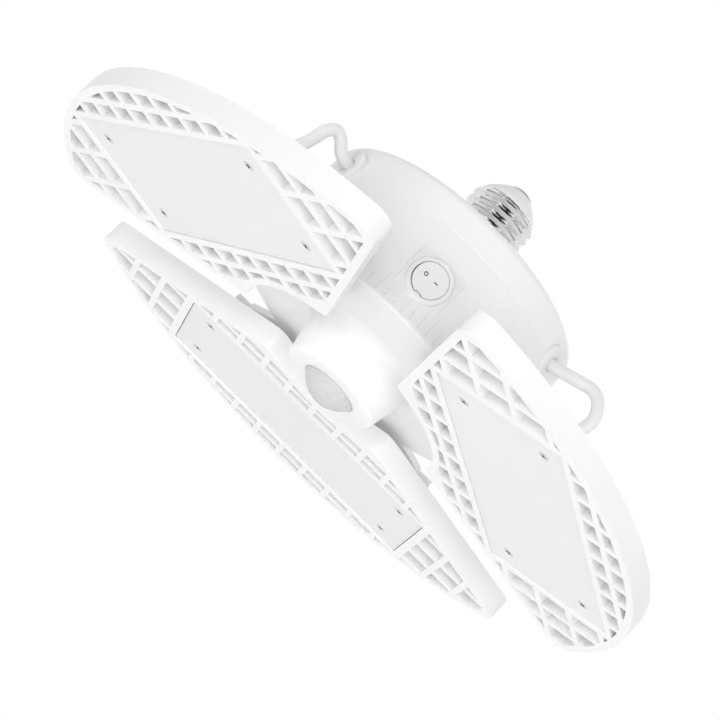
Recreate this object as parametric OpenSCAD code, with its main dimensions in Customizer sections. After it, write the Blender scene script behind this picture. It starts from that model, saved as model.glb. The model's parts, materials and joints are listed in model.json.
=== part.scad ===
// Deformable garage light: a drum housing on a screw cap, a motion sensor underneath and
// three leaf-shaped LED panels that fold up on friction hinges.
// Millimetres. Z runs up the lamp's axis. z = 0 is the seat of the screw cap on its collar.
// A leaf is drawn pointing along +X and then turned to its own direction.

/* [Screw cap] */
// Radius over the thread crests of the screw shell
cap_crest_radius = 13.2; // [12.9:0.1:13.5]
// Radius at the bottom of the thread grooves
cap_root_radius = 12.1; // [11.8:0.1:12.5]
// Distance from crest to crest along the axis
cap_pitch = 3.63; // [3.4:0.01:3.8]
// Height of the metal shell above its seat
cap_shell_height = 15.8; // [15:0.2:18]
// Wall of the metal shell
cap_wall = 0.6; // [0.4:0.1:0.8]
// Height of the white insulator above the shell
cap_insulator_height = 7.6; // [6:0.2:9]
// Height of the plastic collar under the cap
collar_height = 11; // [6:1:20]

/* [Drum housing] */
// Outer radius of the drum at its lower rim
housing_radius = 55.5; // [52:0.5:60]
// How much narrower the drum is at its seam
housing_draft = 1.5; // [0.5:0.1:2.5]
// Height of the lower housing from rim to seam
body_height = 35; // [34:1:42]
// Height of the top cover above the seam
cover_height = 12; // [10.5:0.5:18]
// Wall of the housing and of its cover
housing_wall = 2.4; // [1.8:0.1:3]
// Thickness of the housing floor
floor_thickness = 3; // [2:0.2:4]
// Radius of the rounded shoulder of the cover
shoulder_radius = 3.5; // [2:0.5:5]
// Number of fine cooling grooves around the lower wall
groove_count = 90; // [60:5:100]
// Depth of a cooling groove at the rim
groove_depth = 0.7; // [0.4:0.1:1]

/* [Motion sensor] */
// Radius of the sensor housing where it meets the drum
sensor_top_radius = 23; // [21:0.5:26]
// Radius of the sensor housing at its lower face
sensor_bottom_radius = 19.3; // [18.6:0.1:20.5]
// Depth of the sensor housing below the drum
sensor_depth = 17.5; // [16:0.5:22]
// Wall of the sensor housing
sensor_wall = 2; // [1.6:0.1:2.4]
// Radius of the domed lens
lens_radius = 10.6; // [9:0.1:11.5]
// How far the lens bulges out
lens_bulge = 6; // [4:0.5:8]
// Wall of the lens
lens_wall = 0.8; // [0.5:0.1:1.2]

/* [Rocker switch] */
// Radius of the switch bezel
bezel_radius = 8.4; // [8:0.1:9]
// Radius of the round rocker
rocker_radius = 6.2; // [5.6:0.1:6.6]
// Height of the switch centre above the lower rim
switch_height = 16; // [14:0.5:17]
// How far the rocker leans at rest, in degrees
rocker_lean = 5; // [3:0.5:6]

/* [Leaf panels] */
// Outer radius of the leaves about the lamp axis
leaf_outer_radius = 130.5; // [126:0.5:138]
// Inner radius of the leaves about the lamp axis
leaf_inner_radius = 43; // [40:0.5:45]
// Slope of a leaf flank, in degrees
flank_angle = 31; // [29:0.5:33]
// Distance from the lamp axis to the line of a flank
flank_offset = 15.6; // [14:0.2:17]
// Thickness of a leaf
leaf_thickness = 8.7; // [8.5:0.1:11]
// Radius of the two outer tips of a leaf
tip_radius = 6.5; // [4:0.5:9]
// Gap between the back of a leaf and the drum's rim
leaf_gap = 3.8; // [3:0.1:5]
// Width of the solid border around the lattice
border_width = 3; // [2.4:0.2:4]
// Width of a lattice rib
rib_width = 2.6; // [2:0.1:3.4]
// Lattice pitch around the lamp
rib_pitch = 12; // [11:0.5:14]
// Depth of the lattice pockets
pocket_depth = 6.8; // [5:0.2:7]

/* [LED window] */
// Distance from the lamp axis to the window centre
window_distance = 85; // [84:0.5:87]
// Length of the diffuser window
window_length = 116; // [110:1:118]
// Width of the diffuser window
window_width = 52.7; // [50:0.5:54]
// Thickness of the diffuser plate
diffuser_thickness = 2.2; // [1.6:0.2:3]
// How far the diffuser lies below the lattice face
diffuser_recess = 0.6; // [0.4:0.2:2]
// Columns of light-emitting diodes in one leaf
led_columns = 8; // [5:1:9]
// Rows of light-emitting diodes in one leaf
led_rows = 4; // [2:1:4]

/* [Leaf hinges] */
// How far a hinge line stands out from the drum
hinge_reach = 12.5; // [11:0.5:15]
// Height of the hinge line above the back of a leaf
hinge_height = 6.2; // [6:0.1:8]
// Radius of the hinge lugs and bracket ears
lug_radius = 2.6; // [2.4:0.1:3]
// Distance from the middle of a leaf to its hinge lugs
lug_distance = 43; // [42:0.5:46]
// Thickness of a hinge lug
lug_thickness = 4.5; // [3:0.5:6]
// Radius of the hinge pins
pin_radius = 1.5; // [1.2:0.1:1.8]
// Thickness of the bracket ears
ear_thickness = 3; // [2:0.5:4]
// Thickness of the bracket plate
bracket_thickness = 2.2; // [1.5:0.1:2.5]

/* [Cables] */
// Diameter of the leaf cables
cable_diameter = 4.5; // [4:0.1:5]
// Radius of the grommet head
grommet_radius = 7; // [6:0.5:8]
// How far the flat head of a grommet stands out of the drum
grommet_height = 1.8; // [1.4:0.1:3]

/* [Hidden] */
// Directions of the three leaves about the lamp axis
RIGHT = -30;
LEFT = -150;
REAR = 90;
// Working gap in the hinges and a seat gap between fixed pieces
running_gap = 0.05;
seat_gap = 0.1;
// Heights, all measured from the seat of the screw cap
cover_top = -collar_height;
seam = cover_top - cover_height;
rim = seam - body_height;
leaf_back = rim - leaf_gap;
leaf_face = leaf_back - leaf_thickness;
sensor_face = rim - sensor_depth;
hinge_line = leaf_back + hinge_height;
switch_centre = rim + switch_height;
floor_top = rim + floor_thickness;
// Housing
seam_radius = housing_radius - housing_draft;
band_height = 14;
groove_height = 19;
cover_lip = 3;
post_radius = 3;
post_circle = 30;
cover_post_radius = 4;
cover_post_circle = 45.5;
cover_screw_radius = 1.6;
cover_head_radius = 3;
cover_head_height = 2;
driver_level = floor_top + 9;
board_thickness = 1.6;
driver_radius = 37;
core_length = 20;
core_width = 17;
core_foot = 4;
core_top = 3;
coil_height = 13;
coil_margin = 3;
pad_width = 18.6;
pad_height = 20;
collar_bottom_radius = 17;
collar_top_radius = 14.5;
spigot_height = 11.5;
spigot_radius = cap_root_radius - cap_wall - seat_gap;
shell_sink = 0.6;
collar_bore = 6;
// Screw cap
crest_count = 4;
crest_land = 1.1;
root_land = 0.9;
first_crest = cap_shell_height - (crest_count - 0.5) * cap_pitch + root_land / 2 - 0.2;
contact_radius = 4.6;
contact_height = 1.8;
// Sensor
lens_neck = lens_radius + seat_gap;
lens_flange = lens_radius + 2.4;
lens_flange_height = 1;
sensor_cavity = sensor_bottom_radius - sensor_wall;
sensor_edge = 2.5;
sensor_floor = sensor_face + sensor_wall;
sensor_board_level = sensor_floor + 7.5;
sensor_post_radius = 1.6;
pir_radius = 4.6;
pir_height = 4;
wire_hole = 6;
// Switch
bezel_height = 1.8;
switch_barrel = rocker_radius + 1.15;
switch_barrel_depth = 13;
rocker_bore = rocker_radius + 0.3;
rocker_above = 2.1;
rocker_below = 2;
pivot_depth = 1.6;
pivot_radius = 0.7;
pivot_reach = rocker_radius + 0.8;
rocker_well = 4.6;
switch_plane = housing_radius - 0.4;
key_radius = 1.1;
// Window and LED board
ledge = 3;
pocket_top = leaf_back - 2;
pocket_length = window_length - 2 * ledge;
pocket_width = window_width - 2 * ledge;
board_gap = 0.8;
diffuser_face = leaf_face + diffuser_recess;
diffuser_back = diffuser_face + diffuser_thickness;
screw_inset_long = 9.9;
screw_inset_wide = 9.5;
screw_along = window_length / 2 - screw_inset_long;
screw_across = window_width / 2 - screw_inset_wide;
screw_post = 3;
screw_radius = 1.1;
screw_head = 2.2;
screw_length = 5;
led_length = 3.5;
led_width = 2.8;
led_height = 0.8;
led_margin = 11;
led_pitch_long = (pocket_length - 2 * led_margin) / led_columns;
led_pitch_wide = 9;
// Lattice
side_pitch = 8;
end_pitch = 14.7;
end_shift = 1;
side_rows = 2;
end_columns = 3;
inner_corner = 4;
// Hinges
hinge_distance = housing_radius + hinge_reach;
pin_reach = lug_distance + lug_thickness + 10;
hinge_gap = 0.3;
ear_outer = lug_distance - hinge_gap;
ear_inner = ear_outer - ear_thickness;
pin_head_radius = 2.6;
pin_head_height = 1.6;
pin_nut_radius = 3.1;
pin_nut_height = 2.8;
bracket_low = rim + 1;
bracket_spread = 28;
bracket_flange_top = bracket_low + 12;
bracket_shoulder = hinge_distance - 9;
bracket_root = housing_radius - 10;
bracket_screw_level = bracket_low + 7;
bracket_screw_angle = 17;
bracket_screw_radius = 1.5;
bracket_head_radius = 2.8;
bracket_head_height = 1.8;
plate_front = hinge_distance - 6;
// Cables
cable_radius = cable_diameter / 2;
grommet_neck = 4.5;
grommet_depth = housing_wall + 2;
grommet_sink = 1.5;
grommet_face = seam_radius + grommet_height;
gland_distance = hinge_distance + 10;
gland_radius = 4.8;
gland_tip_radius = 3.2;
gland_base = 2.5;
gland_height = 8.5;
gland_top = leaf_back + gland_height;
// Loop of each cable as steps outward from its grommet and upward from the seam
RIGHT_LOOP = [[5, 0], [12.5, 0.5], [17.5, 0.6], [22.2, -2.1], [25.3, -7.6], [24.9, -12.5]];
LEFT_LOOP = [[4.2, 0.4], [8, 3.1], [11.7, 3.8], [14.5, 0.2], [15.7, -5.5], [18.4, -13]];
REAR_LOOP = [[5, 0], [11.5, 0.8], [17, 0.2], [21, -3.5], [23.4, -9], [23.8, -14]];
cable_sides = 10;

// ---- Screw cap ----

function crest_profile(k) = let (z = first_crest + k * cap_pitch) [
    [cap_root_radius, z - cap_pitch / 2 + root_land / 2],
    [cap_crest_radius, z - crest_land / 2],
    [cap_crest_radius, z + crest_land / 2],
    [cap_root_radius, z + cap_pitch / 2 - root_land / 2]];

function shell_outside() = concat([[cap_root_radius, -shell_sink]], [for (k = [0:crest_count - 1]) each crest_profile(k)],
    [[cap_root_radius, cap_shell_height]]);

module screw_shell() {
    color("silver")
    rotate_extrude($fn = 64)
    polygon(concat(shell_outside(), [[cap_root_radius - cap_wall, cap_shell_height],
        [cap_root_radius - cap_wall, -shell_sink]]));
}

module cap_insulator() {
    step = cap_insulator_height;
    color("gainsboro")
    translate([0, 0, cap_shell_height])
    rotate_extrude($fn = 64)
    polygon([[0, -3], [spigot_radius, -3], [spigot_radius, 0], [cap_root_radius - 0.3, 0],
        [cap_root_radius - 0.7, step * 0.14], [cap_root_radius - 1.7, step * 0.36],
        [cap_root_radius - 3.3, step * 0.58], [cap_root_radius - 5.2, step * 0.78],
        [contact_radius + 1, step * 0.95], [contact_radius + 0.6, step], [0, step]]);
}

module cap_contact() {
    color("silver")
    translate([0, 0, cap_shell_height + cap_insulator_height])
    rotate_extrude($fn = 48)
    polygon([[0, 0], [contact_radius, 0], [contact_radius, contact_height * 0.4],
        [contact_radius * 0.7, contact_height * 0.85], [0, contact_height]]);
}

// ---- Drum housing ----

// The round holes in the seam that the cable grommets pass through
module grommet_holes() {
    for (turn = [RIGHT, LEFT, REAR])
        rotate([0, 0, turn])
        translate([seam_radius - grommet_depth - 2, 0, seam])
        rotate([0, 90, 0])
        cylinder(r = grommet_neck + seat_gap / 2, h = grommet_depth + 6, $fn = 40);
}

module cover_outside() {
    rotate_extrude($fn = 120)
    difference() {
        union() {
            translate([0, seam])
            square([seam_radius, cover_height - shoulder_radius]);
            square_width = seam_radius - shoulder_radius;
            translate([0, seam])
            square([square_width, cover_height]);
            translate([square_width, cover_top - shoulder_radius])
            circle(r = shoulder_radius, $fn = 48);
        }
        translate([-2 * seam_radius, seam - 1])
        square([2 * seam_radius, cover_height + 2]);
    }
}

module top_cover() {
    inside = seam_radius - housing_wall;
    color("white")
    difference() {
        union() {
            cover_outside();
            translate([0, 0, seam - cover_lip])
            cylinder(r = inside - seat_gap, h = cover_lip + 1, $fn = 120);
            difference() {
                translate([0, 0, cover_top - 0.5])
                cylinder(r1 = collar_bottom_radius, r2 = collar_top_radius, h = collar_height + 0.5, $fn = 64);
                translate([0, 0, -shell_sink])
                cylinder(r = cap_crest_radius + seat_gap, h = shell_sink + 1, $fn = 64);
            }
            translate([0, 0, -shell_sink - 1])
            cylinder(r = spigot_radius, h = spigot_height + shell_sink + 1, $fn = 64);
        }
        translate([0, 0, seam - cover_lip - 1])
        cylinder(r = inside - seat_gap - 1.6, h = cover_lip + 1 + cover_height - housing_wall, $fn = 120);
        translate([0, 0, seam])
        cylinder(r = collar_bore, h = collar_height + cover_height + spigot_height + 1, $fn = 48);
        grommet_holes();
        for (turn = [0:120:240])
            rotate([0, 0, turn])
            translate([cover_post_circle, 0, 0]) {
                translate([0, 0, seam])
                cylinder(r = cover_screw_radius + seat_gap / 2, h = cover_height + 1, $fn = 32);
                translate([0, 0, cover_top - cover_head_height])
                cylinder(r = cover_head_radius + seat_gap, h = cover_head_height + 1, $fn = 32);
            }
    }
}

module cover_screws() {
    color("dimgray")
    for (turn = [0:120:240])
        rotate([0, 0, turn])
        translate([cover_post_circle, 0, 0]) {
            translate([0, 0, seam - 6])
            cylinder(r = cover_screw_radius, h = cover_top - cover_head_height - seam + 6.1, $fn = 32);
            translate([0, 0, cover_top - cover_head_height])
            cylinder(r = cover_head_radius, h = cover_head_height - 0.4, $fn = 32);
        }
}

// One tapering cooling groove, deepest at the rim and running out higher up
module cooling_groove() {
    lean = atan(groove_depth / groove_height);
    translate([housing_radius - groove_depth, 0, rim])
    rotate([0, lean, 0])
    translate([0, 0, -3])
    linear_extrude(groove_height + 8)
    polygon([[0, 0], [4, -3.2], [4, 3.2]]);
}

module drum_outside() {
    rotate_extrude($fn = 120)
    polygon([[0, rim], [housing_radius - 1.2, rim], [housing_radius, rim + 1.2],
        [housing_radius, rim + band_height], [seam_radius, seam], [0, seam]]);
}

module switch_pad() {
    translate([-pad_width / 2, -switch_plane, switch_centre - pad_height / 2])
    cube([pad_width, 8, pad_height]);
}

module housing_body() {
    inside = seam_radius - housing_wall;
    color("white")
    difference() {
        union() {
            difference() {
                drum_outside();
                for (k = [0:groove_count - 1])
                    rotate([0, 0, (k + 0.5) * 360 / groove_count])
                    cooling_groove();
            }
            switch_pad();
        }
        difference() {
            translate([0, 0, floor_top])
            cylinder(r = inside, h = body_height, $fn = 120);
            for (turn = [0:120:240])
                rotate([0, 0, turn]) {
                    translate([cover_post_circle, 0, floor_top - 1])
                    cylinder(r = cover_post_radius, h = seam - floor_top + 1, $fn = 40);
                    rotate([0, 0, 60])
                    translate([post_circle, 0, floor_top - 1])
                    cylinder(r = post_radius, h = driver_level - floor_top + 1, $fn = 32);
                }
        }
        translate([-pad_width / 2, -switch_plane - 5, switch_centre - pad_height / 2])
        cube([pad_width, 5, pad_height]);
        translate([0, 0, rim - 1])
        cylinder(r = wire_hole, h = floor_thickness + 2, $fn = 40);
        translate([0, -inside + 4, switch_centre])
        rotate([90, 0, 0])
        cylinder(r = switch_barrel + seat_gap, h = 12, $fn = 48);
        for (turn = [0:120:240])
            rotate([0, 0, turn])
            translate([cover_post_circle, 0, seam - 8])
            cylinder(r = cover_screw_radius + seat_gap / 2, h = 9, $fn = 32);
        grommet_holes();
        for (turn = [RIGHT, LEFT, REAR])
            for (side = [-1, 1])
                rotate([0, 0, turn + side * bracket_screw_angle])
                translate([inside - 3, 0, bracket_screw_level])
                rotate([0, 90, 0])
                cylinder(r = bracket_screw_radius + seat_gap / 2, h = 12, $fn = 24);
    }
}

module driver_board() {
    color("darkgreen")
    translate([0, 0, driver_level])
    cylinder(r = driver_radius, h = board_thickness, $fn = 64);
}

module driver_transformer() {
    color("goldenrod")
    translate([-core_length / 2, -2, driver_level + board_thickness])
    union() {
        cube([core_length, core_width, core_foot]);
        translate([coil_margin, coil_margin, 0])
        cube([core_length - 2 * coil_margin, core_width - 2 * coil_margin, coil_height]);
        translate([0, 0, coil_height - core_top + 1])
        cube([core_length, core_width, core_top]);
    }
}

module driver_capacitor() {
    color("black")
    translate([4, -18, driver_level + board_thickness])
    cylinder(r = 5, h = 14, $fn = 40);
}

// ---- Motion sensor ----

module sensor_housing() {
    color("white")
    rotate_extrude($fn = 96)
    difference() {
        union() {
            polygon([[0, sensor_face], [sensor_bottom_radius - sensor_edge, sensor_face],
                [sensor_bottom_radius + 0.35, sensor_face + sensor_edge], [sensor_top_radius, rim], [0, rim]]);
            translate([sensor_bottom_radius - sensor_edge, sensor_face + sensor_edge])
            circle(r = sensor_edge, $fn = 40);
        }
        translate([-sensor_top_radius, sensor_face - 1])
        square([sensor_top_radius, sensor_depth + 2]);
        translate([0, sensor_floor])
        square([sensor_cavity, sensor_depth]);
        translate([0, sensor_face - 1])
        square([lens_neck, sensor_depth]);
    }
    // Posts that carry the sensor board, grown into the wall
    color("white")
    for (turn = [0:120:240])
        rotate([0, 0, turn])
        translate([sensor_cavity + 0.4 - sensor_post_radius, 0, sensor_floor - 0.2])
        cylinder(r = sensor_post_radius, h = sensor_board_level - sensor_floor + 0.2, $fn = 24);
}

module sensor_lens() {
    ball = (lens_radius * lens_radius + lens_bulge * lens_bulge) / (2 * lens_bulge);
    centre = sensor_face - lens_bulge + ball;
    color("whitesmoke")
    rotate_extrude($fn = 72)
    difference() {
        union() {
            intersection() {
                translate([0, centre])
                circle(r = ball, $fn = 96);
                translate([0, sensor_face - lens_bulge - 1])
                square([lens_radius, lens_bulge + 1]);
            }
            translate([0, sensor_face - 0.01])
            square([lens_radius, sensor_wall + 0.02]);
            translate([0, sensor_floor])
            square([lens_flange, lens_flange_height]);
        }
        intersection() {
            translate([0, centre])
            circle(r = ball - lens_wall, $fn = 96);
            translate([0, sensor_face - lens_bulge - 1])
            square([lens_radius - lens_wall, lens_bulge + 1.01]);
        }
        translate([0, sensor_face - 0.01])
        square([lens_radius - lens_wall, sensor_wall + lens_flange_height + 1]);
    }
}

module sensor_board() {
    color("darkgreen")
    translate([0, 0, sensor_board_level])
    cylinder(r = sensor_cavity - seat_gap, h = board_thickness, $fn = 48);
}

module sensor_element() {
    color("silver")
    translate([0, 0, sensor_board_level - pir_height])
    difference() {
        union() {
            cylinder(r = pir_radius - 0.5, h = pir_height, $fn = 40);
            translate([0, 0, pir_height - 0.6])
            cylinder(r = pir_radius, h = 0.6, $fn = 40);
        }
        translate([-2, -1.5, -1])
        cube([4, 3, 1.3]);
    }
}

// ---- Rocker switch, drawn facing up and then turned to face forward ----

module facing_forward() {
    translate([0, -switch_plane, switch_centre])
    rotate([90, 0, 0])
    children();
}

module switch_body() {
    color("whitesmoke")
    facing_forward()
    difference() {
        union() {
            rotate_extrude($fn = 72)
            polygon([[0, 0], [bezel_radius, 0], [bezel_radius, bezel_height * 0.35],
                [bezel_radius - 0.9, bezel_height * 0.85], [bezel_radius - 1.4, bezel_height], [0, bezel_height]]);
            translate([0, 0, -switch_barrel_depth])
            cylinder(r = switch_barrel, h = switch_barrel_depth, $fn = 60);
        }
        translate([0, 0, bezel_height - rocker_well])
        cylinder(r = rocker_bore, h = rocker_well + 1, $fn = 60);
        translate([0, 0, bezel_height - pivot_depth])
        rotate([90, 0, 0])
        cylinder(r = pivot_radius + running_gap, h = 2 * pivot_reach + seat_gap, center = true, $fn = 32);
        translate([0, -rocker_bore, bezel_height - 0.6])
        cylinder(r = key_radius, h = 2, $fn = 24);
    }
}

module switch_rocker() {
    color("white")
    facing_forward()
    translate([0, 0, bezel_height - pivot_depth])
    rotate([0, rocker_lean, 0])
    union() {
        difference() {
            intersection() {
                translate([0, 0, -rocker_below])
                cylinder(r = rocker_radius, h = rocker_below + rocker_above + 1, $fn = 60);
                rotate([90, 0, 0])
                translate([0, 0, -rocker_radius - 1])
                linear_extrude(2 * rocker_radius + 2)
                polygon([[-rocker_radius, 0.4 - rocker_below], [0, -rocker_below], [rocker_radius, 0.4 - rocker_below],
                    [rocker_radius, rocker_above], [0, rocker_above - 0.55], [-rocker_radius, rocker_above]]);
            }
            translate([0, -rocker_radius - 0.1, pivot_radius + 0.3])
            cylinder(r = key_radius, h = rocker_above, $fn = 24);
        }
        rotate([90, 0, 0])
        cylinder(r = pivot_radius, h = 2 * pivot_reach, center = true, $fn = 32);
    }
}

// ---- Leaf outline, by formula: two arcs about the lamp axis, two flanks and four rounded corners ----

function arc(centre, radius, from, to, steps) =
    [for (k = [0:steps]) centre + radius * [cos(from + (to - from) * k / steps), sin(from + (to - from) * k / steps)]];

// Centre of a corner circle that lies at one distance from the axis and another from the flank line
function corner_centre(reach, off) = let (along = sqrt(reach * reach - off * off))
    [off * cos(flank_angle) + along * sin(flank_angle), along * cos(flank_angle) - off * sin(flank_angle)];

function polar_angle(p) = atan2(p[1], p[0]);

function half_outline(inset) = let (
    tip = max(tip_radius - inset, 1),
    corner = max(inner_corner - inset, 1),
    tip_centre = corner_centre(leaf_outer_radius - inset - tip, flank_offset + inset + tip),
    corner_middle = corner_centre(leaf_inner_radius + inset + corner, flank_offset + inset + corner))
    concat(
        arc([0, 0], leaf_outer_radius - inset, 0, polar_angle(tip_centre), 12),
        arc(tip_centre, tip, polar_angle(tip_centre), 180 - flank_angle, 6),
        arc(corner_middle, corner, 180 - flank_angle, 180 + polar_angle(corner_middle), 4),
        arc([0, 0], leaf_inner_radius + inset, polar_angle(corner_middle), 0, 5));

function reversed(list) = [for (k = [len(list) - 1:-1:0]) list[k]];

function mirrored(list) = [for (p = list) [p[0], -p[1]]];

// Points on the middle line and repeats are left out, so that each corner is there once
function without_repeats(list) = [for (k = [0:len(list) - 1])
    if (norm(list[k] - list[(k + 1) % len(list)]) > 0.01) list[k]];

function leaf_outline(inset) = without_repeats(concat(half_outline(inset), reversed(mirrored(half_outline(inset)))));

module cell(across_low, across_high, along_low, along_high) {
    translate([across_low + rib_width / 2, along_low + rib_width / 2])
    square([across_high - across_low - rib_width, along_high - along_low - rib_width]);
}

// The lattice openings in plan, cut off by the border
module lattice_cells() {
    side = window_width / 2 + rib_width / 2;
    column = window_length / 2 + rib_width / 2 + 0.7;
    side_columns = floor(column / rib_pitch);
    intersection() {
        polygon(leaf_outline(border_width));
        union() {
            for (row = [0:side_rows - 1])
                for (k = [-side_columns:side_columns - 1]) {
                    cell(window_distance + side + row * side_pitch, window_distance + side + (row + 1) * side_pitch,
                        k * rib_pitch, (k + 1) * rib_pitch);
                    cell(window_distance - side - (row + 1) * side_pitch, window_distance - side - row * side_pitch,
                        k * rib_pitch, (k + 1) * rib_pitch);
                }
            for (row = [-2:2], k = [0:end_columns - 1], way = [-1, 1]) {
                near = column + k * rib_pitch;
                low = way > 0 ? near : -near - rib_pitch;
                middle = window_distance + end_shift + row * end_pitch;
                cell(middle - end_pitch / 2, middle + end_pitch / 2, low, low + rib_pitch);
            }
        }
    }
}

module window_box(length, width, low, high) {
    translate([window_distance - width / 2, -length / 2, low])
    cube([width, length, high - low]);
}

module at_diffuser_screws() {
    for (across = [-1, 1], along = [-1, 1])
        translate([window_distance + across * screw_across, along * screw_along, 0])
        children();
}

module hinge_lug(side) {
    low = side > 0 ? lug_distance : -lug_distance - lug_thickness;
    translate([hinge_distance, low, hinge_line])
    rotate([-90, 0, 0]) {
        cylinder(r = lug_radius, h = lug_thickness, $fn = 40);
        translate([-lug_radius, 0, 0])
        cube([2 * lug_radius, hinge_height + 0.5, lug_thickness]);
    }
}

module leaf_frame() {
    difference() {
        union() {
            difference() {
                translate([0, 0, leaf_face])
                linear_extrude(leaf_thickness)
                polygon(leaf_outline(0));
                translate([0, 0, leaf_face - 1])
                linear_extrude(pocket_depth + 1)
                lattice_cells();
                window_box(window_length, window_width, leaf_face - 1, diffuser_back);
                window_box(pocket_length, pocket_width, leaf_face - 1, pocket_top);
            }
            at_diffuser_screws()
            translate([0, 0, diffuser_back])
            cylinder(r = screw_post, h = pocket_top - diffuser_back + 0.5, $fn = 32);
            hinge_lug(-1);
            hinge_lug(1);
        }
        at_diffuser_screws()
        translate([0, 0, diffuser_back - 1])
        cylinder(r = screw_radius + seat_gap / 2, h = screw_length, $fn = 24);
        translate([hinge_distance, -pin_reach, hinge_line])
        rotate([-90, 0, 0])
        cylinder(r = pin_radius + running_gap, h = 2 * pin_reach, $fn = 32);
    }
}

module led_board() {
    difference() {
        window_box(pocket_length - 2 * board_gap, pocket_width - 2 * board_gap, pocket_top - board_thickness, pocket_top);
        at_diffuser_screws()
        translate([0, 0, pocket_top - board_thickness - 1])
        cylinder(r = screw_post + 0.3, h = board_thickness + 2, $fn = 32);
    }
}

module leds() {
    for (row = [0:led_rows - 1], column = [0:led_columns - 1])
        translate([window_distance + (row - (led_rows - 1) / 2) * led_pitch_wide,
            (column - (led_columns - 1) / 2) * led_pitch_long, pocket_top - board_thickness - led_height])
        translate([-led_width / 2, -led_length / 2, 0])
        cube([led_width, led_length, led_height]);
}

module diffuser() {
    difference() {
        window_box(window_length - 0.5, window_width - 0.5, diffuser_face, diffuser_back);
        at_diffuser_screws() {
            translate([0, 0, diffuser_face - 1])
            cylinder(r = screw_radius + seat_gap, h = diffuser_thickness + 2, $fn = 24);
            translate([0, 0, diffuser_face - 0.001])
            cylinder(r1 = screw_head + seat_gap, r2 = screw_radius + seat_gap, h = screw_head - screw_radius, $fn = 24);
        }
    }
}

module diffuser_screws() {
    at_diffuser_screws()
    translate([0, 0, diffuser_face])
    rotate_extrude($fn = 24)
    polygon([[0, 0], [screw_head, 0], [screw_radius, screw_head - screw_radius], [screw_radius, screw_length],
        [0, screw_length]]);
}

module gland() {
    translate([gland_distance, 0, leaf_back])
    rotate_extrude($fn = 40)
    polygon([[0, 0], [gland_radius, 0], [gland_radius, gland_base], [gland_tip_radius + 0.6, gland_base + 1],
        [gland_tip_radius, gland_height], [0, gland_height]]);
}

// ---- Hinge bracket, pins and screws ----

module bracket_plan() {
    difference() {
        polygon([[hinge_distance, ear_outer], [bracket_shoulder, ear_outer], [bracket_root, bracket_spread + 2],
            [bracket_root, -bracket_spread - 2], [bracket_shoulder, -ear_outer], [hinge_distance, -ear_outer],
            [hinge_distance, -ear_inner], [plate_front, -ear_inner], [plate_front, ear_inner],
            [hinge_distance, ear_inner]]);
        circle(r = housing_radius + running_gap, $fn = 120);
    }
}

module bracket_ear(side) {
    low = side > 0 ? ear_inner : -ear_outer;
    translate([hinge_distance, low, hinge_line])
    rotate([-90, 0, 0])
    cylinder(r = lug_radius, h = ear_thickness, $fn = 40);
}

module bracket() {
    difference() {
        union() {
            translate([0, 0, bracket_low])
            linear_extrude(bracket_thickness)
            bracket_plan();
            intersection() {
                translate([0, 0, bracket_low])
                cylinder(r = housing_radius + running_gap + bracket_thickness, h = bracket_flange_top - bracket_low,
                    $fn = 120);
                translate([housing_radius - 12, -bracket_spread + 2, bracket_low])
                cube([20, 2 * bracket_spread - 4, bracket_flange_top - bracket_low]);
            }
            bracket_ear(-1);
            bracket_ear(1);
        }
        translate([0, 0, rim - 1])
        cylinder(r = housing_radius + running_gap, h = body_height, $fn = 120);
        translate([hinge_distance, -pin_reach, hinge_line])
        rotate([-90, 0, 0])
        cylinder(r = pin_radius + running_gap, h = 2 * pin_reach, $fn = 32);
        for (side = [-1, 1])
            rotate([0, 0, side * bracket_screw_angle])
            translate([housing_radius - 5, 0, bracket_screw_level])
            rotate([0, 90, 0])
            cylinder(r = bracket_screw_radius + seat_gap / 2, h = 12, $fn = 24);
    }
}

module bracket_screws() {
    for (side = [-1, 1])
        rotate([0, 0, side * bracket_screw_angle])
        translate([0, 0, bracket_screw_level])
        rotate([0, 90, 0])
        union() {
            translate([0, 0, housing_radius - 6])
            cylinder(r = bracket_screw_radius, h = 6.5 + bracket_thickness, $fn = 24);
            translate([0, 0, housing_radius + running_gap + bracket_thickness])
            cylinder(r = bracket_head_radius, h = bracket_head_height, $fn = 32);
        }
}

module hinge_pins() {
    for (side = [-1, 1])
        translate([hinge_distance, 0, hinge_line])
        rotate([-90 * side, 0, 0]) {
            translate([0, 0, ear_inner - pin_nut_height])
            cylinder(r = pin_nut_radius, h = pin_nut_height, $fn = 6);
            translate([0, 0, ear_inner - 0.1])
            cylinder(r = pin_radius, h = lug_distance + lug_thickness + 0.4 - ear_inner, $fn = 32);
            translate([0, 0, lug_distance + lug_thickness + 0.1])
            cylinder(r = pin_head_radius, h = pin_head_height, $fn = 40);
        }
}

// ---- Cables ----

module grommet() {
    difference() {
        union() {
            translate([seam_radius - grommet_depth, 0, seam])
            rotate([0, 90, 0])
            cylinder(r = grommet_neck, h = grommet_depth + 1, $fn = 40);
            translate([seam_radius - grommet_sink, 0, seam])
            rotate([0, 90, 0])
            rotate_extrude($fn = 48)
            polygon([[0, 0], [grommet_radius, 0], [grommet_radius, grommet_sink + grommet_height - 0.7],
                [grommet_radius - 0.3, grommet_sink + grommet_height - 0.2],
                [grommet_radius - 0.9, grommet_sink + grommet_height], [0, grommet_sink + grommet_height]]);
        }
        difference() {
            rotate_extrude($fn = 120)
            polygon([[0, rim + band_height], [housing_radius + running_gap, rim + band_height],
                [seam_radius + running_gap, seam], [seam_radius + running_gap, cover_top], [0, cover_top]]);
            translate([0, 0, seam])
            rotate([0, 90, 0])
            cylinder(r = grommet_neck, h = housing_radius + grommet_height, $fn = 40);
        }
    }
}

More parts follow.
